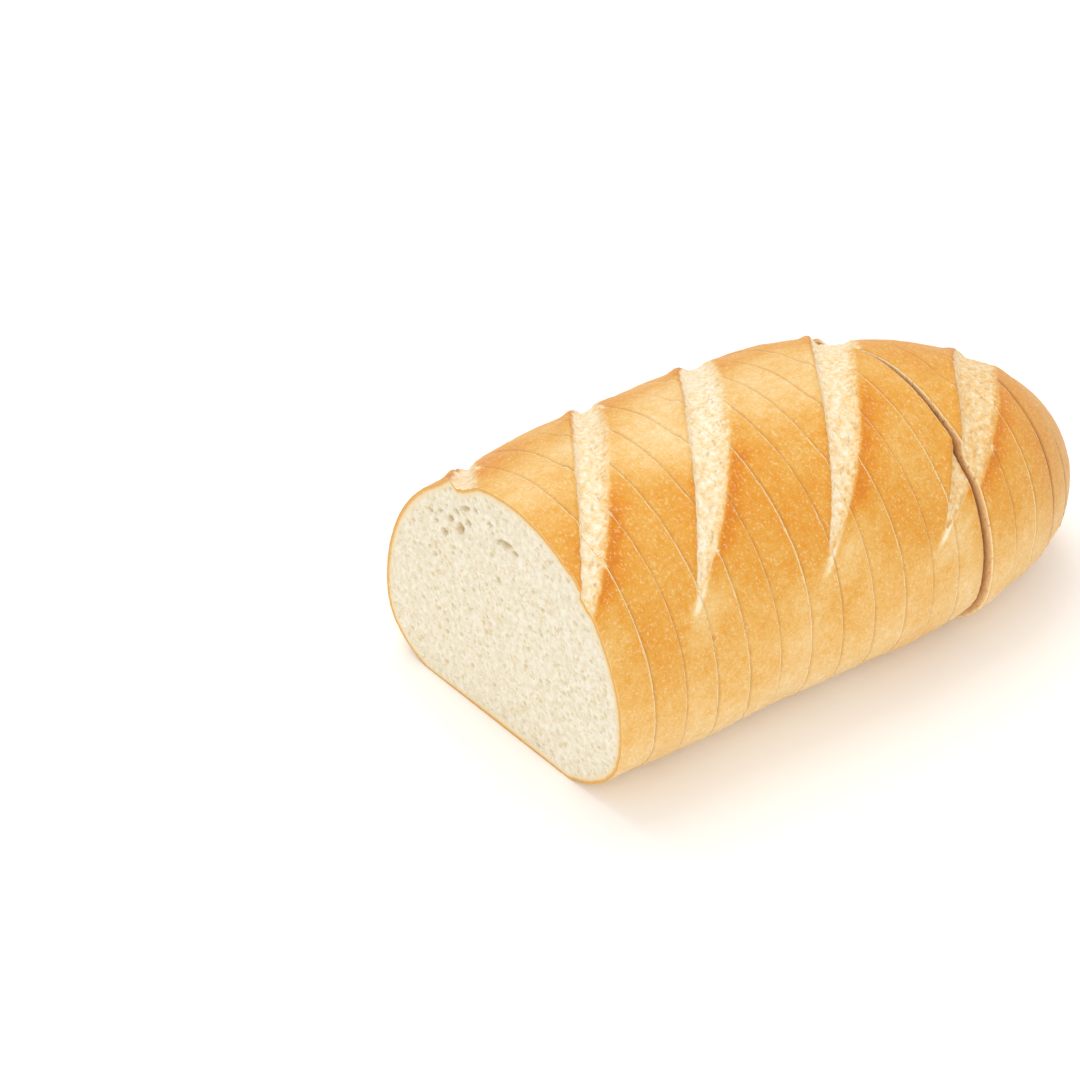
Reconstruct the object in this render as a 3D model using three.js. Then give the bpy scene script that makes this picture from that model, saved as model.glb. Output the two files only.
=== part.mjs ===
import * as THREE from 'three';
import { mergeVertices } from 'three/addons/utils/BufferGeometryUtils.js';

// A sliced white loaf in millimetres, +Z up. The slices stand in a row along +X,
// from the cut face to the rounded heel, and -Y is the loaf's front flank.

// Slicing
const SLICE_COUNT = 16;
const SLICE_PITCH = 12.5;
const SLICE_GAP = 0.4;
const HEEL_LENGTH = 26;
const LOAF_LENGTH = SLICE_COUNT * SLICE_PITCH + HEEL_LENGTH;

// The tail is the run of last slices that has slid forward, away from the rest
const TAIL_FIRST_SLICE = 13;
const TAIL_SLIDE = 3.4;
const TAIL_GAP = 1.2;
const SLICE_SLIDE = 0.2;

// Section of the loaf: its widest level lies low, under a round top
const HALF_WIDTH = 60.4;
const HEIGHT = 94;
const WIDEST_LEVEL = 29.6;
const UNDERSIDE_DEPTH = 34.6;
const TOP_ROUNDNESS = 1.04;
const UNDERSIDE_ROUNDNESS = 0.78;
const FLANK_LEAN = 0.068;

// How the section changes along the loaf
const WIDTH_SWELL = { rise: 0.335, fall: 0.263 };
const HEIGHT_SWELL = { rise: 0.087, fall: 0.112 };
const BEND = 27;
const TAPER_START = 100;
const TAPER_SHAPE = 2.2;
const TAPER_ROUNDNESS = 0.5;
const TOP_TAPER = 0.88;
const UNDERSIDE_TAPER = 0.4;

// Slashes run over the top at a slant. Angles go round the section in degrees:
// 0 is the front flank, 90 the top and 180 the back. A slash's front tip hooks
// back towards the cut face.
const SLASH_SLANT = 0.8;
const SLASH_DEPTH = 2.8;
const HOOK_BEND = 5;
const LIP_HEIGHT = 1.8;
const LIP_WIDTH = 3;
const SLASHES = [
  { start: -55, front: 41, back: 152, width: 12, hook: 0 },
  { start: -8.3, front: 35, back: 152, width: 14, hook: 0 },
  { start: 38, front: 35, back: 148, width: 17, hook: 1 },
  { start: 88.3, front: 31, back: 146, width: 16.6, hook: 1.5 },
  { start: 140, front: 24, back: 136, width: 22, hook: 6 },
];

// Unevenness of the baked crust
const WAVE_HEIGHT = 0.7;
const WAVE_LENGTH = 15;

// Facets of a slice
const SIDES = 60;
const SLICE_ROWS = 5;
const HEEL_ROWS = 9;
const HEEL_TIP = 0.997;

const signedPower = (value, power) => Math.sign(value) * Math.abs(value) ** power;
const radians = THREE.MathUtils.degToRad;

// Shrink of the section towards the heel, from 1 down to 0 at the tip
function taper(x) {
  const along = Math.max(0, (x - TAPER_START) / (LOAF_LENGTH - TAPER_START));
  return (1 - along ** TAPER_SHAPE) ** TAPER_ROUNDNESS;
}

function swell(x, { rise, fall }) {
  const along = x / LOAF_LENGTH;
  return 1 + rise * along - fall * along ** 2;
}

// Height of a slash's valley (below zero) or lip (above) at a place on the crust
function slashRelief(x, degrees) {
  let relief = 0;
  for (const { start, front, back, width, hook } of SLASHES) {
    const along = (degrees - front) / (back - front);
    if (along <= 0 || along >= 1) continue;
    const opening = Math.sin(Math.PI * along) ** 0.6;
    const halfWidth = (width / 2) * opening;
    const middle = start + SLASH_SLANT * (degrees - front) - hook * (1 - along) ** HOOK_BEND;
    const across = x - middle;
    if (Math.abs(across) < halfWidth) {
      relief -= SLASH_DEPTH * opening * Math.cos((Math.PI / 2) * (across / halfWidth));
    }
    const fromLip = (across + halfWidth + LIP_WIDTH / 2) / LIP_WIDTH;
    relief += LIP_HEIGHT * opening * Math.exp(-(fromLip ** 2));
  }
  return relief;
}

function crustWave(x, angle) {
  const slow = Math.sin(x / WAVE_LENGTH + 2 * angle);
  const quick = Math.sin(1.9 * x / WAVE_LENGTH - 5 * angle + 1);
  return WAVE_HEIGHT * (0.6 * slow + 0.4 * quick);
}

// A point of the loaf at x, at an angle round its section. reach is 1 on the crust
// and 0 in the middle of the crumb.
function loafPoint(x, angle, reach) {
  const shrink = taper(x);
  const halfWidth = HALF_WIDTH * swell(x, WIDTH_SWELL) * shrink;
  const topRise = (HEIGHT * swell(x, HEIGHT_SWELL) - WIDEST_LEVEL) * shrink ** TOP_TAPER;
  const underDrop = UNDERSIDE_DEPTH * shrink ** UNDERSIDE_TAPER;
  const isTop = Math.sin(angle) >= 0;
  const roundness = isTop ? TOP_ROUNDNESS : UNDERSIDE_ROUNDNESS;
  const lift = isTop ? topRise : underDrop;
  const outward = signedPower(Math.cos(angle), roundness);
  const upward = signedPower(Math.sin(angle), roundness);
  const relief = isTop ? slashRelief(x, THREE.MathUtils.radToDeg(angle)) : 0;
  const proud = shrink * (crustWave(x, angle) + relief);
  const rise = reach * (lift * upward + proud * Math.sin(angle));
  const spread = reach * (halfWidth * outward + proud * Math.cos(angle));
  const middle = -BEND * (x / LOAF_LENGTH) ** 2 - FLANK_LEAN * rise;
  return new THREE.Vector3(x, middle - spread, Math.max(0, WIDEST_LEVEL + rise));
}

// A closed stretch of the loaf between two cuts. It starts as a drum along X, and
// each of its points moves to its place on the loaf. Over the top its lines lean as
// the slashes do, so that the slashes' edges stay smooth.
function loafPiece(rows, placeAlong) {
  const drum = new THREE.CylinderGeometry(1, 1, 1, SIDES, rows);
  drum.deleteAttribute('normal');
  drum.deleteAttribute('uv');
  drum.rotateZ(-Math.PI / 2);
  const piece = mergeVertices(drum);
  const points = piece.getAttribute('position');
  const point = new THREE.Vector3();
  for (let index = 0; index < points.count; index += 1) {
    point.fromBufferAttribute(points, index);
    const reach = Math.round(Math.hypot(point.y, point.z));
    const straight = Math.atan2(point.z, -point.y);
    const lean = radians(point.x * SLICE_PITCH / SLASH_SLANT) * Math.max(0, point.z);
    const place = loafPoint(placeAlong(point.x + 0.5, reach), straight + lean, reach);
    points.setXYZ(index, place.x, place.y, place.z);
  }
  piece.computeBoundingBox();
  piece.translate(0, 0, -piece.boundingBox.min.z);
  piece.computeVertexNormals();
  return piece;
}

function sliceGeometry(number) {
  const from = (number - 1) * SLICE_PITCH + SLICE_GAP / 2;
  return loafPiece(SLICE_ROWS, (share) => from + share * (SLICE_PITCH - SLICE_GAP));
}

// The heel's rows crowd towards its round tip, and its last flat has a raised middle
function heelGeometry() {
  const from = SLICE_COUNT * SLICE_PITCH + SLICE_GAP / 2;
  const ringEnd = TAPER_START + HEEL_TIP * (LOAF_LENGTH - TAPER_START);
  return loafPiece(HEEL_ROWS, (share, reach) => {
    if (reach === 0 && share === 1) return (ringEnd + LOAF_LENGTH) / 2;
    return from + Math.sin(share * Math.PI / 2) * (ringEnd - from);
  });
}

// Slices sit a little out of line, and the tail has slid forward as one
function settle(piece, number) {
  const inTail = number >= TAIL_FIRST_SLICE;
  piece.position.x = inTail ? TAIL_GAP : 0;
  piece.position.y = SLICE_SLIDE * Math.sin(2.4 * number) - (inTail ? TAIL_SLIDE : 0);
}

function breadMaterial() {
  return new THREE.MeshStandardMaterial({ color: '#dda763', roughness: 0.78, metalness: 0 });
}

function makeLoaf() {
  const row = new THREE.Group();
  for (let number = 1; number <= SLICE_COUNT; number += 1) {
    const slice = new THREE.Mesh(sliceGeometry(number), breadMaterial());
    slice.name = `slice_${String(number).padStart(2, '0')}`;
    settle(slice, number);
    row.add(slice);
  }
  const heel = new THREE.Mesh(heelGeometry(), breadMaterial());
  heel.name = 'heel';
  settle(heel, SLICE_COUNT + 1);
  row.add(heel);

  // The origin is the middle of the loaf's footprint
  const box = new THREE.Box3().setFromObject(row, true);
  const middle = box.getCenter(new THREE.Vector3());
  row.position.set(-middle.x, -middle.y, -box.min.z);
  const loaf = new THREE.Group();
  loaf.add(row);
  return loaf;
}

export default makeLoaf();
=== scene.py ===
import math
from functools import lru_cache

import bmesh
import bpy
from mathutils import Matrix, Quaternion, Vector, noise


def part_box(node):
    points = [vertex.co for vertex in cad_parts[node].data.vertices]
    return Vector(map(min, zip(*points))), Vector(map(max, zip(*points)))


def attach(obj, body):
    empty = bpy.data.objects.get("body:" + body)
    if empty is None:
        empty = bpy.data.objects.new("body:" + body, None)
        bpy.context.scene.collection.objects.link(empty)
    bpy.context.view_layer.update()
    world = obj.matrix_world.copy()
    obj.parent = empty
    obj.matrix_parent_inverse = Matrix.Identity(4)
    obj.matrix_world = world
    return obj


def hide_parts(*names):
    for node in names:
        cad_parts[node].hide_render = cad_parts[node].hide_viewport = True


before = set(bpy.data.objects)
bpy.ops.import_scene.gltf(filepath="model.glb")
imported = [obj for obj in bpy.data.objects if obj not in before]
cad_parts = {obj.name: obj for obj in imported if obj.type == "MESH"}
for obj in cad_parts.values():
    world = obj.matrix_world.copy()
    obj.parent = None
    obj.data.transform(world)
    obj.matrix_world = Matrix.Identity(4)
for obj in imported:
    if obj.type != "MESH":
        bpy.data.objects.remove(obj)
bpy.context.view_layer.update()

# Lengths are millimetres until a piece's mesh is finished. The loaf runs along X from
# the cut face to the heel, and -Y is its front flank.
MM = 0.001
METRE = 1000.0

# Slicing, read from the frame. The knife takes less than the frame's gap.
SLICES = sorted(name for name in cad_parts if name.startswith("slice_"))
SLICE_PITCH = (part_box(SLICES[1])[0].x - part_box(SLICES[0])[0].x) / MM
FRAME_GAP = SLICE_PITCH - (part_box(SLICES[0])[1].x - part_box(SLICES[0])[0].x) / MM
KNIFE_GAP = 0.06
HEEL_START = len(SLICES) * SLICE_PITCH
HEEL_LENGTH = 26.0
LOAF_LENGTH = HEEL_START + HEEL_LENGTH
TIP_INSET = 0.4

# Slices sit a little out of line, and the tail has slid forward as one. LOAF_MIDDLE is
# how far behind the origin the middle of the first cut stands.
LOAF_MIDDLE = 7.17
SLICE_SLIDE = 0.2
SLIDE_TURN = 2.4
TAIL_SLIDE = 3.4
TAIL_FIRST = "slice_13"

# Section of the loaf: its widest level lies low, under a round top
HALF_WIDTH = 60.4
HEIGHT = 94.0
WIDEST_LEVEL = 29.6
UNDERSIDE_DEPTH = 34.6
TOP_ROUNDNESS = 1.04
UNDERSIDE_ROUNDNESS = 0.78
FLANK_LEAN = 0.068
WIDTH_RISE, WIDTH_FALL = 0.335, 0.263
HEIGHT_RISE, HEIGHT_FALL = 0.087, 0.112
BEND = 27.0
TAPER_START = 100.0
TAPER_SHAPE = 2.2
TAPER_ROUNDNESS = 0.5
TOP_TAPER = 0.88
UNDERSIDE_TAPER = 0.4
WAVE_HEIGHT = 0.7
WAVE_LENGTH = 15.0

# Planes of noise that keep the patterns of the relief apart
PLANES = {"ragged": 0.0, "crumb": 2.0, "threads": 3.0, "frayed": 4.0, "pits": 5.0,
          "dips": 6.0, "lumps": 9.0, "cracks": 14.0}
LUCK_SCALE = 7.3

# Relief of the baked skin: blisters with a grain on them, and wrinkles that fade out
# between two levels of the flank. It lies a little inside the solids, to stay within
# their box, and fades where the heel's section is less than a third.
BLISTER_WIDTH, BLISTER_HEIGHT = 5.0, 0.16
GRAIN_WIDTH, GRAIN_HEIGHT = 1.9, 0.09
WRINKLE_ALONG, WRINKLE_ACROSS, WRINKLE_UP = 14.0, 9.0, 1.5
WRINKLE_HEIGHT = 0.2
WRINKLE_LEVELS = (45.0, 18.0)
SKIN_INSET = 0.3
SKIN_FADE = 3.0

# Slashes: millimetres along the loaf, and degrees round its section from the front
# flank at 0 over the top at 90 to the back at 180. toasted is how much the torn
# surface browned, from 0 to 1.
SLASH_SLANT = 0.8
SLASH_DEPTH = 2.8
OPENING_SHAPE = 0.6
WALL_SHAPE = 3.0
HOOK_BEND = 5
LIP_HEIGHT = 1.8
LIP_WIDTH = 3.0
SLASHES = [
    {"start": -55.0, "front": 41.0, "back": 152.0, "width": 12.0, "hook": 0.0, "toasted": 0.3},
    {"start": -8.3, "front": 35.0, "back": 152.0, "width": 14.0, "hook": 0.0, "toasted": 0.25},
    {"start": 38.0, "front": 35.0, "back": 148.0, "width": 17.0, "hook": 1.0, "toasted": 0.2},
    {"start": 88.3, "front": 31.0, "back": 146.0, "width": 16.6, "hook": 1.5, "toasted": 0.35},
    {"start": 140.0, "front": 24.0, "back": 136.0, "width": 22.0, "hook": 6.0, "toasted": 0.85},
]

# Marks that the slashes leave: the torn surface, how far it burst and its pits, the
# browned lip on its left, toasted skin, pale skin at the front tip, and its right edge
MARKS = ("torn", "lip", "toast", "pale", "burst", "pit", "right_edge")
MARK_REACH = 30.0
BELOW_TIP = 0.3

# How ragged a slash's edges are, and how much each edge and mark follows that
RAGGED_LENGTH, FRAYED_LENGTH = 3.1, 0.9
FRAYED_SHARE = 0.5
NEXT_SLASH = 7.0
RAGGED = {"left": 0.5, "right": 0.7, "lip": 0.6, "toast": 0.4, "scuff": 0.6}

# Torn surface: how long each pattern is along the slash and how wide across it
TORN_PATTERNS = {
    "threads": (7.0, 1.3), "lumps": (4.0, 3.5), "pits": (3.4, 2.2), "cracks": (8.0, 2.6)}
THREAD_HEIGHT, LUMP_HEIGHT, PIT_DEPTH = 0.36, 0.45, 0.35
PIT_SIZE, PIT_SPREAD, PIT_FLOOR = 0.08, 0.26, 0.2
CRACK_SIZE, CRACK_LUMPS, CRACK_SHARE = (0.07, 0.01), (0.0, 0.25), 0.8

# Where each mark fades, from none to whole: in millimetres in from the slash's left or
# right edge, or in shares of the way across or along it. FAINT is the share of a mark
# outside its main place.
WALL_ACROSS = (0.0, 0.17)
CRAGS_LEFT, CRAGS_RIGHT = (0.0, 1.4), (0.0, 2.6)
TORN_LEFT, TORN_RIGHT = (0.0, 0.5), (-0.2, 1.0)
PIT_LEFT, PIT_ACROSS, PIT_ALONG = (0.3, 1.2), (0.1, 0.5), (0.8, 0.35)
BURST_RIGHT, BURST_SHARE = (4.5, 0.3), 0.7
LIP_LEFT, LIP_ALONG, LIP_INNER = (-1.2, -0.1), (0.42, 0.62), 0.3
LIP_SHARE = 0.75
EDGE_RIGHT = (2.4, 0.4)
TOAST_RIGHT, TOAST_START, TOAST_END = (0.4, -1.6), (0.03, 0.14), (0.46, 0.24)
TOAST_WIDTH, TOAST_SHARE = 7.5, 0.95
LEFT_TOAST_WIDTH, LEFT_TOAST_SHARE = 3.0, 0.3
FAINT = 0.15

# Pale skin at a slash's front tip: a scuff below it and a halo around it
SCUFF_ACROSS, SCUFF_WIDTH, SCUFF_LENGTH = 0.8, 2.0, 5.0
SCUFF_ALONG = (0.12, -0.02)
HALO_ACROSS, HALO_BELOW, HALO_WIDTH = 7.0, 4.0, 9.0
HALO_SHARE = 0.3

# Each slice's crust dips just past the knife's cut, and the heel's cut gapes a little.
# NO_CUT is the distance to a cut that isn't there.
DIP_DEPTH = 0.35
DIP_LENGTH = 1.0
DIP_SHARE, DIP_SPREAD = 0.7, 0.7
NEXT_DIP, DIP_TURN = 3.1, 2.5
HEEL_GAP = 0.5
NO_CUT = 50.0

# Fineness of the meshes
AROUND = 480
ROW_STEP = 0.75
CORNER = 0.1
SHOULDER = 3.0 * CORNER
HEEL_RINGS = 52

# Pores of the crumb: how far apart they lie, and their sizes and depths. The carving
# fades out towards the crust and towards the underside.
PORE_ALONG, PORE_ACROSS, PORE_UP = 9.0, 3.4, 2.8
PORE_SIZE, PORE_SPREAD, PORE_FLOOR = 0.04, 0.4, 0.4
PORE_DEPTH = 0.4
WEB_WIDTH, WEB_DEPTH = 1.1, 0.1
HOLE_REACH, HOLE_EDGE, HOLE_DEPTH, HOLE_RAGGED = 2.0, (1.2, 0.6), 1.5, 0.35
CARVED_DEPTHS, CARVED_LEVELS = (0.2, 2.4), (0.5, 3.0)

# The larger holes in the open cut face, in millimetres and degrees
HOLES = [
    {"across": 15.2, "up": 79.7, "half_length": 2.6, "half_height": 0.9, "turn": -28},
    {"across": 13.8, "up": 74.9, "half_length": 1.3, "half_height": 1.2, "turn": 0},
    {"across": 18.3, "up": 70.1, "half_length": 2.7, "half_height": 1.7, "turn": -60},
    {"across": 26.8, "up": 64.4, "half_length": 1.9, "half_height": 1.3, "turn": -28},
    {"across": 23.1, "up": 71.5, "half_length": 1.7, "half_height": 1.3, "turn": -28},
    {"across": -4.1, "up": 76.5, "half_length": 4.0, "half_height": 1.2, "turn": -12},
    {"across": -9.4, "up": 75.8, "half_length": 1.8, "half_height": 0.8, "turn": -12},
    {"across": 19.9, "up": 76.2, "half_length": 1.2, "half_height": 0.9, "turn": 0},
    {"across": 28.4, "up": 71.9, "half_length": 1.0, "half_height": 0.8, "turn": 0},
    {"across": 33.4, "up": 69.4, "half_length": 1.3, "half_height": 0.8, "turn": 0},
    {"across": 30.7, "up": 66.8, "half_length": 1.0, "half_height": 0.9, "turn": 0},
    {"across": 3.0, "up": 80.2, "half_length": 0.9, "half_height": 1.0, "turn": 0},
    {"across": 10.0, "up": 81.8, "half_length": 1.0, "half_height": 0.8, "turn": 0},
    {"across": 32.2, "up": 52.4, "half_length": 1.3, "half_height": 0.8, "turn": -28},
    {"across": -0.8, "up": 60.6, "half_length": 1.2, "half_height": 0.9, "turn": 0},
]

# Rings of a cut face: how far its outer band reaches in, the step in it, the rings
# inside it, whether pores are carved, and its larger holes
HIDDEN_FACE = {"band": 6.0, "step": 2.5, "inner": 4, "carved": False, "holes": []}
EDGE_FACE = {"band": 14.0, "step": 0.7, "inner": 5, "carved": True, "holes": []}
OPEN_FACE = {"band": 60.0, "step": 0.55, "inner": 2, "carved": True, "holes": HOLES}

# Camera at the photograph's angle, in degrees and millimetres
CAMERA_AZIMUTH = -39.51
CAMERA_ELEVATION = 36.26
CAMERA_ROLL = -0.71
CAMERA_DISTANCE = 800.1
CAMERA_LENS = 81.2
CAMERA_NEAR = 10.0
SENSOR = 36.0
CAMERA_AIM = Vector((-83.2, 21.87, 53.35))

# Studio, in metres and watts
FLOOR_REACH = 3.0
WORLD_STRENGTH = 0.81
SOFTBOXES = {
    "top_softbox": {"place": (0.1, 0.5, 1.15), "size": 0.9, "power": 6.0},
    "front_softbox": {"place": (-0.55, -1.0, 0.75), "size": 0.8, "power": 4.5},
}


def smoothstep(low, high, value):
    share = min(1.0, max(0.0, (value - low) / (high - low)))
    return share * share * (3.0 - 2.0 * share)


def signed_power(value, power):
    return math.copysign(abs(value) ** power, value)


# Form of the loaf

def taper(x):
    along = min(1.0, max(0.0, (x - TAPER_START) / (LOAF_LENGTH - TAPER_START)))
    return (1.0 - along ** TAPER_SHAPE) ** TAPER_ROUNDNESS


def swell(x, rise, fall):
    along = x / LOAF_LENGTH
    return 1.0 + rise * along - fall * along ** 2


def crust_wave(x, angle):
    slow = math.sin(x / WAVE_LENGTH + 2.0 * angle)
    quick = math.sin(1.9 * x / WAVE_LENGTH - 5.0 * angle + 1.0)
    return WAVE_HEIGHT * (0.6 * slow + 0.4 * quick)


def luck(point):
    """A steady share from 0 to 1 for the pore at a point."""
    return 0.5 + 0.5 * noise.cell(LUCK_SCALE * point)


def torn_place(along, across, pattern):
    """Place in the noise of a pattern on the torn surface."""
    length, width = TORN_PATTERNS[pattern]
    return Vector((along / length, across / width, PLANES[pattern]))


def torn_relief(along, across):
    """Relief of the torn surface in a slash, and how far it lies in a burst pore."""
    threads = noise.noise(torn_place(along, across, "threads"))
    lumps = noise.noise(torn_place(along, across, "lumps"))
    distances, centres = noise.voronoi(torn_place(along, across, "pits"))
    size = PIT_SIZE + PIT_SPREAD * luck(centres[0])
    pit = smoothstep(size, PIT_FLOOR * size, distances[0])
    vein = noise.noise(torn_place(along, across, "cracks"))
    crack = smoothstep(*CRACK_SIZE, abs(vein)) * smoothstep(*CRACK_LUMPS, lumps)
    pit = max(pit, CRACK_SHARE * crack)
    return THREAD_HEIGHT * threads + LUMP_HEIGHT * lumps - PIT_DEPTH * pit, pit


def pale_skin(run, along, across, ragged):
    """Share of pale skin that a slash gives a place round its front tip."""
    from_scuff = math.hypot((across - SCUFF_ACROSS) / SCUFF_WIDTH, min(run, 0.0) / SCUFF_LENGTH)
    scuff = math.exp(-from_scuff ** 2) * smoothstep(*SCUFF_ALONG, along)
    scuff *= 1.0 + RAGGED["scuff"] * ragged
    from_halo = math.hypot((across - HALO_ACROSS) / HALO_WIDTH, (run + HALO_BELOW) / HALO_WIDTH)
    return max(scuff, HALO_SHARE * math.exp(-from_halo ** 2))


def slash_marks(x, degrees):
    """Relief that the slashes give a place, and its share of each mark on the crust."""
    relief = 0.0
    marks = dict.fromkeys(MARKS, 0.0)
    for number, slash in enumerate(SLASHES):
        reach = slash["back"] - slash["front"]
        run = degrees - slash["front"]
        along = run / reach
        if not -BELOW_TIP < along < 1.0:
            continue
        hook = slash["hook"] * (1.0 - along) ** HOOK_BEND
        across = x - slash["start"] - SLASH_SLANT * run + hook
        if abs(across) > MARK_REACH:
            continue
        ragged = noise.noise(Vector((
            run / RAGGED_LENGTH, number * NEXT_SLASH, PLANES["ragged"])))
        ragged += FRAYED_SHARE * noise.noise(Vector((
            run / FRAYED_LENGTH, number * NEXT_SLASH, PLANES["frayed"])))
        marks["pale"] = max(marks["pale"], pale_skin(run, along, across, ragged))
        if along <= 0.0:
            continue

        opening = math.sin(math.pi * along) ** OPENING_SHAPE
        half_width = 0.5 * slash["width"] * opening
        left = across + half_width + RAGGED["left"] * ragged
        right = half_width - across + RAGGED["right"] * ragged
        if left > 0.0 and right > 0.0:
            share = left / (left + right)
            wall = smoothstep(*WALL_ACROSS, share) * (1.0 - share ** WALL_SHAPE)
            relief -= SLASH_DEPTH * opening * wall
            crags, pit = torn_relief(run, across)
            relief += smoothstep(*CRAGS_LEFT, left) * smoothstep(*CRAGS_RIGHT, right) * crags
            marks["torn"] = smoothstep(*TORN_LEFT, left) * smoothstep(*TORN_RIGHT, right)
            low_and_right = smoothstep(*PIT_ACROSS, share) * smoothstep(*PIT_ALONG, along)
            pit *= smoothstep(*PIT_LEFT, left)
            marks["pit"] = pit * (FAINT + (1.0 - FAINT) * low_and_right)
            marks["burst"] = slash["toasted"] + BURST_SHARE * smoothstep(*BURST_RIGHT, right)
        from_lip = (across + half_width + 0.5 * LIP_WIDTH) / LIP_WIDTH
        ear = math.exp(-from_lip ** 2) if left < 0.0 else 0.0
        relief += LIP_HEIGHT * opening * ear * (LIP_SHARE + RAGGED["lip"] * ragged)
        if left < LIP_INNER:
            browned = smoothstep(*LIP_LEFT, left) * smoothstep(*LIP_ALONG, along)
            marks["lip"] = max(marks["lip"], browned)
        marks["right_edge"] = max(marks["right_edge"], smoothstep(*EDGE_RIGHT, abs(right)))
        toast = 0.0
        if right < 0.0:
            low_on_slash = smoothstep(*TOAST_START, along) * smoothstep(*TOAST_END, along)
            toast = math.exp(-(right / TOAST_WIDTH) ** 2) * (FAINT + (1.0 - FAINT) * low_on_slash)
            toast *= smoothstep(*TOAST_RIGHT, right)
            toast *= TOAST_SHARE + RAGGED["toast"] * ragged
        elif left < 0.0:
            toast = LEFT_TOAST_SHARE * math.exp(left / LEFT_TOAST_WIDTH)
        marks["toast"] = max(marks["toast"], toast)
    return relief, marks


def skin_relief(place):
    """Fine unevenness of the baked skin: soft blisters, and low wrinkles on the flank."""
    blister = BLISTER_HEIGHT * noise.noise(place / BLISTER_WIDTH)
    blister += GRAIN_HEIGHT * noise.noise(place / GRAIN_WIDTH)
    low = smoothstep(*WRINKLE_LEVELS, place.z)
    wrinkle = noise.noise(Vector((
        place.x / WRINKLE_ALONG, place.y / WRINKLE_ACROSS, place.z / WRINKLE_UP)))
    return blister + WRINKLE_HEIGHT * low * wrinkle - SKIN_INSET


def cut_dip(x, angle):
    """Depth of the soft dip in the crust just past each cut."""
    cut = min(len(SLICES), int(x / SLICE_PITCH))
    if cut == 0:
        return 0.0
    spread = noise.noise(Vector((NEXT_DIP * cut, DIP_TURN * angle, PLANES["dips"])))
    strength = DIP_SHARE + DIP_SPREAD * spread
    return DIP_DEPTH * strength * math.exp(-(x - cut * SLICE_PITCH) / DIP_LENGTH)


def section_middle(x, rise):
    return -BEND * (x / LOAF_LENGTH) ** 2 - FLANK_LEAN * rise


@lru_cache(maxsize=None)
def crust_point(x, step):
    """A point of the crust at x, at a step round its section, and its marks."""
    angle = math.tau * step / AROUND
    shrink = taper(x)
    half_width = HALF_WIDTH * swell(x, WIDTH_RISE, WIDTH_FALL) * shrink
    top_rise = (HEIGHT * swell(x, HEIGHT_RISE, HEIGHT_FALL) - WIDEST_LEVEL) * shrink ** TOP_TAPER
    under_drop = UNDERSIDE_DEPTH * shrink ** UNDERSIDE_TAPER
    is_top = step <= AROUND // 2
    roundness = TOP_ROUNDNESS if is_top else UNDERSIDE_ROUNDNESS
    lift = top_rise if is_top else under_drop
    outward = signed_power(math.cos(angle), roundness)
    upward = signed_power(math.sin(angle), roundness)
    relief, marks = 0.0, dict.fromkeys(MARKS, 0.0)
    if is_top:
        relief, marks = slash_marks(x, math.degrees(angle))
    smooth = Vector((x, -half_width * outward, WIDEST_LEVEL + lift * upward))
    skin = skin_relief(smooth) - cut_dip(x, angle)
    skin *= 1.0 - marks["torn"]
    skin *= min(1.0, SKIN_FADE * shrink)
    proud = shrink * (crust_wave(x, angle) + relief) + skin
    rise = lift * upward + proud * math.sin(angle)
    spread = half_width * outward + proud * math.cos(angle)
    place = Vector((x, section_middle(x, rise) - spread, max(0.0, WIDEST_LEVEL + rise)))
    return place, marks


def crumb_hollow(place, holes):
    """Depth of the crumb at a place on a cut face, and how far it lies in a pore."""
    distances, centres = noise.voronoi(Vector((
        place.x / PORE_ALONG, place.y / PORE_ACROSS, place.z / PORE_UP)))
    size = PORE_SIZE + PORE_SPREAD * luck(centres[0]) ** 2
    pore = smoothstep(size, PORE_FLOOR * size, distances[0])
    depth = PORE_DEPTH * pore
    ragged = noise.noise(Vector((PLANES["crumb"], place.y / WEB_WIDTH, place.z / WEB_WIDTH)))
    for hole in holes:
        across = place.y - hole["across"]
        up = place.z - hole["up"]
        if max(abs(across), abs(up)) > HOLE_REACH * hole["half_length"]:
            continue
        turn = math.radians(hole["turn"])
        along = across * math.cos(turn) + up * math.sin(turn)
        beside = up * math.cos(turn) - across * math.sin(turn)
        out = math.hypot(along / hole["half_length"], beside / hole["half_height"])
        inside = smoothstep(*HOLE_EDGE, out + HOLE_RAGGED * ragged)
        depth = max(depth, HOLE_DEPTH * hole["half_height"] * inside)
        pore = max(pore, inside)
    return depth + WEB_DEPTH * (1.0 + ragged), pore


# Meshes

def face_rings(x, face):
    """Rings of a cut face from its middle out, as shares of the way to the crust."""
    radius = 0.5 * (HALF_WIDTH + HEIGHT - WIDEST_LEVEL)
    start = 1.0 - face["band"] / radius
    steps = max(1, round(face["band"] / face["step"]))
    rings = [(start * number / face["inner"], x) for number in range(face["inner"])]
    rings += [(start + (1.0 - start) * number / steps, x) for number in range(steps)]
    return rings + [(1.0 - CORNER / radius, x)]


def crust_rings(low, high):
    """Rings of the crust between two cuts, with one close to each corner."""
    length = high - low - 2.0 * SHOULDER
    rows = round(length / ROW_STEP)
    places = [low + SHOULDER + length * row / rows for row in range(rows + 1)]
    return [(1.0, x) for x in [low + CORNER, *places, high - CORNER]]


def heel_rings(low):
    """Rings of the heel's crust, which crowd towards its round tip."""
    first = low + CORNER
    length = LOAF_LENGTH - TIP_INSET - first
    turns = [0.5 * math.pi * number / HEEL_RINGS for number in range(HEEL_RINGS + 1)]
    return [(1.0, first + length * math.sin(turn)) for turn in turns]


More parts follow.
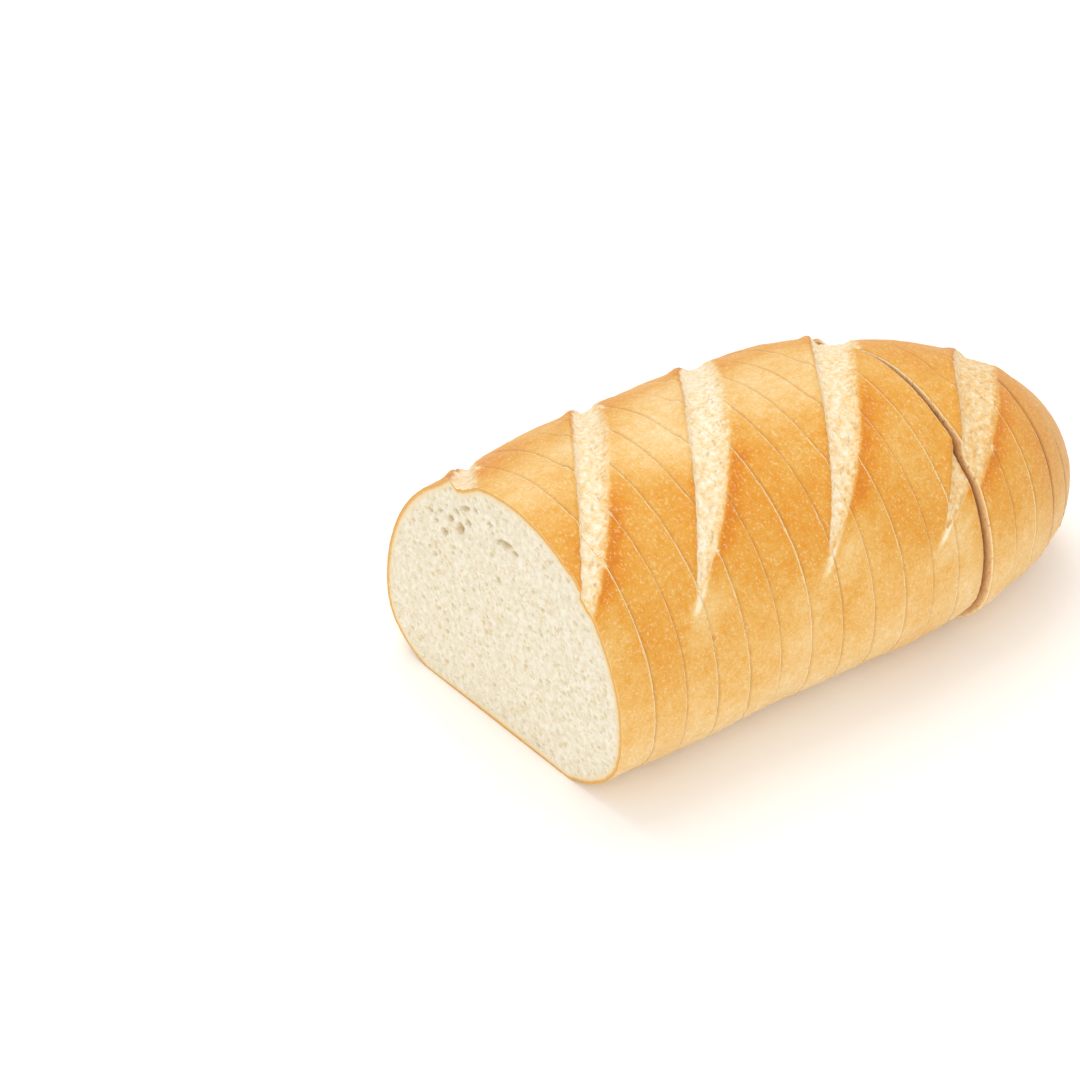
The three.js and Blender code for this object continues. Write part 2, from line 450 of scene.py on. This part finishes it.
def bread_mesh(name, rings, cuts, carved):
    """A closed stretch of the loaf. It starts as a globe, and each of the globe's
    rings is drawn out to its place on a cut face or on the crust. cuts are the places
    of its cuts that have a neighbour, before it and after it. carved holds the larger
    holes of each cut face whose crumb is carved, by the face's place."""
    bm = bmesh.new()
    bands = len(rings) - 1
    before, after = cuts
    bmesh.ops.create_uvsphere(bm, u_segments=AROUND, v_segments=bands, radius=1.0)
    names = (*MARKS, "past_cut", "before_cut", "under_crust", "pore", "painted_gap_shade")
    layers = {mark: bm.verts.layers.float.new(mark) for mark in names}
    on_crust = bm.verts.layers.int.new("on_crust")
    for vert in bm.verts:
        ring = round(math.acos(max(-1.0, min(1.0, vert.co.z))) / math.pi * bands)
        step = round(math.atan2(vert.co.y, vert.co.x) / math.tau * AROUND) % AROUND
        reach, x = rings[ring]
        edge, marks = crust_point(x, step)
        centre = Vector((x, section_middle(x, 0.0), WIDEST_LEVEL))
        place = centre.lerp(edge, reach)
        depth = (1.0 - reach) * (edge - centre).length
        if x in carved and reach < 1.0:
            inward = 1.0 if x == rings[0][1] else -1.0
            fade = smoothstep(*CARVED_DEPTHS, depth) * smoothstep(*CARVED_LEVELS, place.z)
            hollow, pore = crumb_hollow(place, carved[x])
            place.x += inward * fade * hollow
            vert[layers["pore"]] = fade * pore
        for mark, value in marks.items():
            vert[layers[mark]] = value
        vert[layers["past_cut"]] = NO_CUT if before is None else x - before
        vert[layers["before_cut"]] = NO_CUT if after is None else after - x
        vert[layers["under_crust"]] = depth
        # Faces in the cuts that are nearly shut, whose crumb gets painted shade
        vert[layers["painted_gap_shade"]] = 0.0 if before is None and x == rings[0][1] else 1.0
        vert[on_crust] = reach == 1.0
        vert.co = place
    for face in bm.faces:
        face.smooth = True
        face.material_index = 0 if all(vert[on_crust] for vert in face.verts) else 1
    bm.verts.layers.int.remove(on_crust)
    bm.normal_update()
    mesh = bpy.data.meshes.new(name)
    bm.to_mesh(mesh)
    bm.free()
    return mesh


def slide(number):
    """How far a slice sits out of line, counted from 0 at the cut face."""
    in_tail = number >= SLICES.index(TAIL_FIRST)
    return SLICE_SLIDE * math.sin(SLIDE_TURN * (number + 1)) - (TAIL_SLIDE if in_tail else 0.0)


def fit_to_node(mesh, node, number):
    """Moves a mesh to stand where its node stands, and turns it to metres."""
    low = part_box(node)[0]
    shift = Vector((
        METRE * low.x - number * SLICE_PITCH - 0.5 * FRAME_GAP,
        LOAF_MIDDLE + slide(number),
        METRE * low.z - min(vert.co.z for vert in mesh.vertices),
    ))
    for vert in mesh.vertices:
        vert.co = (vert.co + shift) * MM


def add_piece(mesh, node, materials, number):
    fit_to_node(mesh, node, number)
    piece = bpy.data.objects.new(mesh.name, mesh)
    bpy.context.scene.collection.objects.link(piece)
    for material in materials:
        mesh.materials.append(material)
    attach(piece, "root")
    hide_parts(node)


# Materials

# Places of the sockets in use among a Mix node's inputs
COLOUR_A, COLOUR_B = 6, 7
FLOAT_A, FLOAT_B = 2, 3

# Settings that several nodes share
SMOOTH = {"interpolation_type": "SMOOTHSTEP"}
OF_COLOURS = {"data_type": "RGBA"}
MULTIPLY = {"operation": "MULTIPLY"}
MULTIPLY_ADD = {"operation": "MULTIPLY_ADD"}


def colour(hex_code):
    """An sRGB hex colour as the linear values that a shader takes."""
    channels = [int(hex_code[at:at + 2], 16) / 255.0 for at in (1, 3, 5)]
    linear = [c / 12.92 if c <= 0.04045 else ((c + 0.055) / 1.055) ** 2.4 for c in channels]
    return (*linear, 1.0)


def add_node(tree, kind, settings=None, links=None):
    """Adds a node with its settings. A link comes from a node, a socket or a value."""
    node = tree.nodes.new(kind)
    for key, value in (settings or {}).items():
        setattr(node, key, value)
    for key, source in (links or {}).items():
        if isinstance(source, bpy.types.Node):
            source = next(output for output in source.outputs if output.enabled)
        if isinstance(source, bpy.types.NodeSocket):
            tree.links.new(source, node.inputs[key])
        else:
            node.inputs[key].default_value = source
    return node


def set_stops(ramp_node, stops):
    elements = ramp_node.color_ramp.elements
    while len(elements) < len(stops):
        elements.new(0.5)
    for element, (position, code) in zip(elements, stops):
        element.position = position
        element.color = colour(code)


def per_metre(millimetres):
    """Scale of a pattern whose grains are this far apart."""
    return METRE / millimetres


def new_material(name, settings):
    material = bpy.data.materials.new(name)
    material.use_nodes = True
    tree = material.node_tree
    tree.nodes.clear()
    shader = add_node(tree, "ShaderNodeBsdfPrincipled", None, settings)
    add_node(tree, "ShaderNodeOutputMaterial", None, {"Surface": shader})
    return material, tree, shader


def baked_crust():
    """Baked wheat crust: a thin matt skin, golden where it browned, cream where a
    slash tore it open, with countless tiny pale blisters."""
    material, tree, shader = new_material("baked_wheat_crust", {
        "Roughness": 0.58, "Specular IOR Level": 0.32, "IOR": 1.45,
        "Sheen Weight": 0.07, "Sheen Roughness": 0.4,
    })
    place = add_node(tree, "ShaderNodeTexCoord").outputs["Object"]
    mark = {
        name: add_node(tree, "ShaderNodeAttribute", {"attribute_name": name}).outputs["Fac"]
        for name in (*MARKS, "past_cut", "before_cut")
    }

    # The skin's colour: paler low on the flank, most browned beside the slashes. The very
    # top is painted paler as a sheen, and towards the heel it is painted darker and duller
    # as shade on the end that faces away from the light.
    spread = add_node(tree, "ShaderNodeSeparateXYZ", None, {0: place})
    heel_shade = add_node(tree, "ShaderNodeMapRange", SMOOTH, {
        "Value": spread.outputs["X"], "From Min": 50.0 * MM, "From Max": 100.0 * MM,
        "To Min": 0.0, "To Max": 0.38})
    # Painted sheen: the very top is paler
    top_sheen = add_node(tree, "ShaderNodeMapRange", SMOOTH, {
        "Value": spread.outputs["Z"], "From Min": 89.0 * MM, "From Max": 97.0 * MM,
        "To Min": 0.0, "To Max": -0.38})
    cloud = add_node(tree, "ShaderNodeTexNoise", None, {
        "Vector": place, "Scale": per_metre(22.0), "Detail": 2.0, "Roughness": 0.5})
    mottle = add_node(tree, "ShaderNodeTexNoise", None, {
        "Vector": place, "Scale": per_metre(3.2), "Detail": 3.0, "Roughness": 0.6})
    grain = add_node(tree, "ShaderNodeTexNoise", None, {
        "Vector": place, "Scale": per_metre(0.9), "Detail": 2.0, "Roughness": 0.6})
    skin_tone = add_node(tree, "ShaderNodeMapRange", SMOOTH, {
        "Value": spread.outputs["Z"], "From Min": 8.0 * MM, "From Max": 70.0 * MM,
        "To Min": -0.45, "To Max": -0.05})
    browning_sheen_and_shade = ((heel_shade, 0.15), (top_sheen, 1.0), (cloud, 0.5), (mottle, 0.42), (grain, 0.42),
                (mark["toast"], 0.42), (mark["pale"], -0.75))
    for share, amount in browning_sheen_and_shade:
        skin_tone = add_node(tree, "ShaderNodeMath", MULTIPLY_ADD, {
            0: share, 1: amount, 2: skin_tone})
    skin = add_node(tree, "ShaderNodeValToRGB", None, {"Fac": skin_tone})
    set_stops(skin, [(0.0, "#F3E1BE"), (0.2, "#E9C68A"), (0.43, "#E2B05F"), (0.62, "#DC9D3C"),
                     (0.82, "#DA8B22"), (1.0, "#D17D1B")])
    # Painted shade towards the heel, a duller brown on the end that faces away from the light
    skin = add_node(tree, "ShaderNodeMix", OF_COLOURS, {
        "Factor": heel_shade, COLOUR_A: skin.outputs["Color"], COLOUR_B: colour("#D0995C")})

    # Tiny pale blisters, drawn about twice as coarse as real so that they show
    fleck_place = add_node(tree, "ShaderNodeMapping", None, {
        "Vector": place, "Rotation": (0.5, 0.3, 0.7), "Scale": (1.0, 0.6, 1.0)})
    specks = add_node(tree, "ShaderNodeTexNoise", None, {
        "Vector": fleck_place, "Scale": per_metre(0.8), "Detail": 1.0, "Distortion": 0.3})
    fleck = add_node(tree, "ShaderNodeMapRange", SMOOTH, {
        "Value": specks, "From Min": 0.54, "From Max": 0.76, "To Min": 0.0, "To Max": 0.37})
    skin = add_node(tree, "ShaderNodeMix", OF_COLOURS, {
        "Factor": fleck, COLOUR_A: skin, COLOUR_B: colour("#F8DDB0")})
    spots = add_node(tree, "ShaderNodeTexVoronoi", None, {
        "Vector": place, "Scale": per_metre(30.0)})
    spot = add_node(tree, "ShaderNodeMapRange", SMOOTH, {
        "Value": spots.outputs["Distance"], "From Min": 0.05, "From Max": 0.02,
        "To Min": 0.0, "To Max": 0.6})
    skin = add_node(tree, "ShaderNodeMix", OF_COLOURS, {
        "Factor": spot, COLOUR_A: skin, COLOUR_B: colour("#D2801F")})

    # The knife turns up a thin pale edge before each cut. The skin past each cut is
    # painted darker, as shade cast by the edge of the slice before it, most at the last
    # cuts before the heel
    last_cuts = add_node(tree, "ShaderNodeMapRange", None, {
        "Value": spread.outputs["X"], "From Min": 68.0 * MM, "From Max": 74.0 * MM,
        "To Min": 1.0, "To Max": 2.0})
    shade_place = add_node(tree, "ShaderNodeMath", {"operation": "DIVIDE"}, {
        0: mark["past_cut"], 1: last_cuts})
    shade = add_node(tree, "ShaderNodeMapRange", SMOOTH, {
        "Value": shade_place, "From Min": 1.5, "From Max": 0.0, "To Min": 0.0, "To Max": 0.85})
    shade = add_node(tree, "ShaderNodeMath", MULTIPLY, {0: shade, 1: cloud})
    shade = add_node(tree, "ShaderNodeMath", {"operation": "MULTIPLY", "use_clamp": True}, {
        0: shade, 1: last_cuts})
    # Painted shade past each cut
    skin = add_node(tree, "ShaderNodeMix", OF_COLOURS, {
        "Factor": shade, COLOUR_A: skin, COLOUR_B: colour("#A66A2A")})
    broken = add_node(tree, "ShaderNodeMath", MULTIPLY_ADD, {
        0: mottle, 1: -1.5, 2: mark["before_cut"]})
    cut_line = add_node(tree, "ShaderNodeMapRange", SMOOTH, {
        "Value": broken, "From Min": -0.35, "From Max": -0.85, "To Min": 0.0, "To Max": 0.72})
    from_cut = add_node(tree, "ShaderNodeMath", {"operation": "MINIMUM"}, {
        0: mark["past_cut"], 1: mark["before_cut"]})
    chip_far = add_node(tree, "ShaderNodeMath", MULTIPLY_ADD, {
        0: cloud, 1: -12.0, 2: from_cut})
    chip_far = add_node(tree, "ShaderNodeMath", MULTIPLY_ADD, {
        0: grain, 1: -3.0, 2: chip_far})
    chip = add_node(tree, "ShaderNodeMapRange", None, {
        "Value": chip_far, "From Min": -7.9, "From Max": -9.1, "To Min": 0.0, "To Max": 0.9})
    chip = add_node(tree, "ShaderNodeMath", MULTIPLY, {
        0: chip, 1: mark["right_edge"]})
    scar = add_node(tree, "ShaderNodeMath", {"operation": "MAXIMUM"}, {0: cut_line, 1: chip})
    skin = add_node(tree, "ShaderNodeMix", OF_COLOURS, {
        "Factor": scar, COLOUR_A: skin, COLOUR_B: colour("#F6DFB0")})
    lip_share = add_node(tree, "ShaderNodeMath", MULTIPLY, {
        0: mark["lip"], 1: 0.45})
    skin = add_node(tree, "ShaderNodeMix", OF_COLOURS, {
        "Factor": lip_share, COLOUR_A: skin, COLOUR_B: colour("#B3681E")})

    # The torn surface: cream threads of crumb, toasted on their ridges, with painted
    # tan shade in its pores
    threads = add_node(tree, "ShaderNodeTexNoise", None, {
        "Vector": place, "Scale": per_metre(2.1), "Detail": 5.0, "Roughness": 0.7})
    toasting = add_node(tree, "ShaderNodeMath", MULTIPLY_ADD, {
        0: mark["burst"], 1: 0.2, 2: threads})
    torn_skin = add_node(tree, "ShaderNodeValToRGB", None, {"Fac": toasting})
    set_stops(torn_skin, [(0.4, "#F7EDD9"), (0.54, "#F0DCB7"), (0.68, "#E9C68A"),
                          (0.88, "#DC9D4A")])
    # Painted shade in the pits of the torn surface
    pit_shade = add_node(tree, "ShaderNodeMath", MULTIPLY, {
        0: mark["pit"], 1: 0.75})
    torn_skin = add_node(tree, "ShaderNodeMix", OF_COLOURS, {
        "Factor": pit_shade, COLOUR_A: torn_skin.outputs["Color"], COLOUR_B: colour("#C2985A")})
    surface = add_node(tree, "ShaderNodeMix", OF_COLOURS, {
        "Factor": mark["torn"], COLOUR_A: skin, COLOUR_B: torn_skin})
    tree.links.new(surface.outputs[2], shader.inputs["Base Color"])

    # Fine relief: a tight grain on the skin and rough threads on the torn surface
    skin_height = add_node(tree, "ShaderNodeMath", {"operation": "ADD"}, {0: grain, 1: mottle})
    skin_height = add_node(tree, "ShaderNodeMath", MULTIPLY_ADD, {
        0: fleck, 1: 0.4, 2: skin_height})
    rough = add_node(tree, "ShaderNodeMath", MULTIPLY, {0: threads, 1: 2.5})
    relief = add_node(tree, "ShaderNodeMix", {"data_type": "FLOAT"}, {
        "Factor": mark["torn"], FLOAT_A: skin_height, FLOAT_B: rough})
    bump = add_node(tree, "ShaderNodeBump", None, {
        "Strength": 0.6, "Distance": 0.28 * MM, "Height": relief})
    tree.links.new(bump.outputs["Normal"], shader.inputs["Normal"])
    return material


def wheat_crumb():
    """Soft white wheat crumb: a matt cream web full of fine pores, painted tan inside as
    their shade. It turns yellower and denser in the last millimetres under the crust.
    In the cuts that are nearly shut it is painted tan, darker further in, as shade in
    the gap. Light goes a little way into it, which softens its pores."""
    material, tree, shader = new_material("open_wheat_crumb", {
        "Roughness": 0.9, "Specular IOR Level": 0.15, "IOR": 1.4,
        "Subsurface Weight": 0.35, "Subsurface Radius": (1.0, 0.7, 0.4),
        "Subsurface Scale": 1.5 * MM,
    })
    place = add_node(tree, "ShaderNodeTexCoord").outputs["Object"]
    depth, pore, painted_gap_shade = [
        add_node(tree, "ShaderNodeAttribute", {"attribute_name": name}).outputs["Fac"]
        for name in ("under_crust", "pore", "painted_gap_shade")
    ]
    web = add_node(tree, "ShaderNodeTexNoise", None, {
        "Vector": place, "Scale": per_metre(1.9), "Detail": 4.0, "Roughness": 0.6})
    dimples = add_node(tree, "ShaderNodeTexNoise", None, {
        "Vector": place, "Scale": per_metre(1.5), "Detail": 2.0, "Roughness": 0.5})
    crumb = add_node(tree, "ShaderNodeValToRGB", None, {"Fac": web})
    set_stops(crumb, [(0.32, "#E3D6B9"), (0.5, "#ECE2CB"), (0.68, "#F5EEDD")])
    # The pores are painted tan, as the shade in their hollows
    fine_pore = add_node(tree, "ShaderNodeMapRange", SMOOTH, {
        "Value": dimples, "From Min": 0.44, "From Max": 0.3, "To Min": 0.0, "To Max": 0.65})
    wide_pore = add_node(tree, "ShaderNodeMath", MULTIPLY, {0: pore, 1: 0.8})
    pore_shade = add_node(tree, "ShaderNodeMath", {"operation": "MAXIMUM"}, {
        0: fine_pore, 1: wide_pore})
    crumb = add_node(tree, "ShaderNodeMix", OF_COLOURS, {
        "Factor": pore_shade, COLOUR_A: crumb.outputs["Color"], COLOUR_B: colour("#D7C190")})

    # Its rim. In the cuts that are nearly shut the crumb is painted tan, darker further in, as
    # shade in the gap
    edge_place = add_node(tree, "ShaderNodeMath", MULTIPLY_ADD, {
        0: web, 1: -1.2, 2: depth})
    rim = add_node(tree, "ShaderNodeMapRange", None, {
        "Value": edge_place, "From Min": -0.5, "From Max": 4.5, "To Min": 0.0, "To Max": 1.0})
    rim_colour = add_node(tree, "ShaderNodeValToRGB", None, {"Fac": rim})
    set_stops(rim_colour, [(0.0, "#DDA355"), (0.16, "#E3B36E"), (0.32, "#EDD6A6"),
                           (1.0, "#F0E5CC")])
    rim_share = add_node(tree, "ShaderNodeMapRange", SMOOTH, {
        "Value": rim, "From Min": 0.15, "From Max": 0.8, "To Min": 1.0, "To Max": 0.0})
    open_crumb = add_node(tree, "ShaderNodeMix", OF_COLOURS, {
        "Factor": rim_share, COLOUR_A: crumb, COLOUR_B: rim_colour.outputs["Color"]})
    shaded_gap_crumb = add_node(tree, "ShaderNodeValToRGB", None, {"Fac": rim})
    set_stops(shaded_gap_crumb, [(0.0, "#F8E0B0"), (0.22, "#EBC592"), (0.55, "#D6A36B"),
                          (1.0, "#BA8450")])
    shaded_gap_crumb = add_node(tree, "ShaderNodeMix", OF_COLOURS, {
        "Factor": pore_shade, COLOUR_A: shaded_gap_crumb.outputs["Color"], COLOUR_B: colour("#C4965E")})
    surface = add_node(tree, "ShaderNodeMix", OF_COLOURS, {
        "Factor": painted_gap_shade, COLOUR_A: open_crumb, COLOUR_B: shaded_gap_crumb})
    tree.links.new(surface.outputs[2], shader.inputs["Base Color"])
    relief = add_node(tree, "ShaderNodeMath", {"operation": "ADD"}, {0: dimples, 1: web})
    bump = add_node(tree, "ShaderNodeBump", None, {
        "Strength": 0.5, "Distance": 0.5 * MM, "Height": relief})
    tree.links.new(bump.outputs["Normal"], shader.inputs["Normal"])
    return material


def pale_board():
    """White matt board, as under a product photograph: no gloss and no pattern."""
    return new_material("white_matt_board", {
        "Roughness": 0.9, "Specular IOR Level": 0.1, "IOR": 1.4,
        "Base Color": colour("#FFFDFA"),
    })[0]


# Floor, light and camera

def make_floor():
    bm = bmesh.new()
    bmesh.ops.create_grid(bm, x_segments=1, y_segments=1, size=FLOOR_REACH)
    mesh = bpy.data.meshes.new("pale_floor")
    bm.to_mesh(mesh)
    bm.free()
    mesh.materials.append(pale_board())
    floor = bpy.data.objects.new("pale_floor", mesh)
    bpy.context.scene.collection.objects.link(floor)


def add_softbox(name, place, size, power):
    light = bpy.data.lights.new(name, "AREA")
    light.shape = "SQUARE"
    light.size = size
    light.energy = power
    lamp = bpy.data.objects.new(name, light)
    lamp.location = place
    lamp.rotation_mode = "QUATERNION"
    lamp.rotation_quaternion = (-Vector(place)).to_track_quat("-Z", "Y")
    bpy.context.scene.collection.objects.link(lamp)


def make_studio():
    world = bpy.data.worlds.new("white_studio")
    world.use_nodes = True
    background = world.node_tree.nodes["Background"]
    background.inputs["Color"].default_value = colour("#FFFFFF")
    background.inputs["Strength"].default_value = WORLD_STRENGTH
    bpy.context.scene.world = world
    bpy.context.scene.view_settings.view_transform = "Standard"
    for name, softbox in SOFTBOXES.items():
        add_softbox(name, **softbox)


def make_camera():
    camera_data = bpy.data.cameras.new("camera")
    camera_data.lens = CAMERA_LENS
    camera_data.sensor_width = SENSOR
    camera_data.clip_start = CAMERA_NEAR * MM
    camera = bpy.data.objects.new("camera", camera_data)
    azimuth = math.radians(CAMERA_AZIMUTH)
    elevation = math.radians(CAMERA_ELEVATION)
    back = Vector((
        math.sin(azimuth) * math.cos(elevation),
        -math.cos(azimuth) * math.cos(elevation),
        math.sin(elevation),
    ))
    camera.location = (CAMERA_AIM + back * CAMERA_DISTANCE) * MM
    camera.rotation_mode = "QUATERNION"
    roll = Quaternion((0.0, 0.0, 1.0), math.radians(CAMERA_ROLL))
    camera.rotation_quaternion = (-back).to_track_quat("-Z", "Y") @ roll
    bpy.context.scene.collection.objects.link(camera)
    bpy.context.scene.camera = camera


# The loaf

def make_slice(number, node, materials):
    low_cut = number * SLICE_PITCH
    low = low_cut + 0.5 * (FRAME_GAP if number == 0 else KNIFE_GAP)
    high = low_cut + SLICE_PITCH - 0.5 * KNIFE_GAP
    front = back = HIDDEN_FACE
    if number == 0:
        front = OPEN_FACE
    if node == TAIL_FIRST:
        front = EDGE_FACE
    if number + 1 < len(SLICES) and SLICES[number + 1] == TAIL_FIRST:
        back = EDGE_FACE
    rings = face_rings(low, front) + crust_rings(low, high) + face_rings(high, back)[::-1]
    cuts = (None if number == 0 else low, high)
    carved = {x: face["holes"] for x, face in ((low, front), (high, back)) if face["carved"]}
    mesh = bread_mesh("bread_" + node, rings, cuts, carved)
    add_piece(mesh, node, materials, number)


def make_heel(materials):
    low = HEEL_START + HEEL_GAP
    rings = face_rings(low, HIDDEN_FACE) + heel_rings(low)
    mesh = bread_mesh("bread_heel", rings, (low, None), {})
    add_piece(mesh, "heel", materials, len(SLICES))


def make_loaf():
    materials = [baked_crust(), wheat_crumb()]
    for number, node in enumerate(SLICES):
        make_slice(number, node, materials)
    make_heel(materials)


make_loaf()
make_floor()
make_studio()
make_camera()
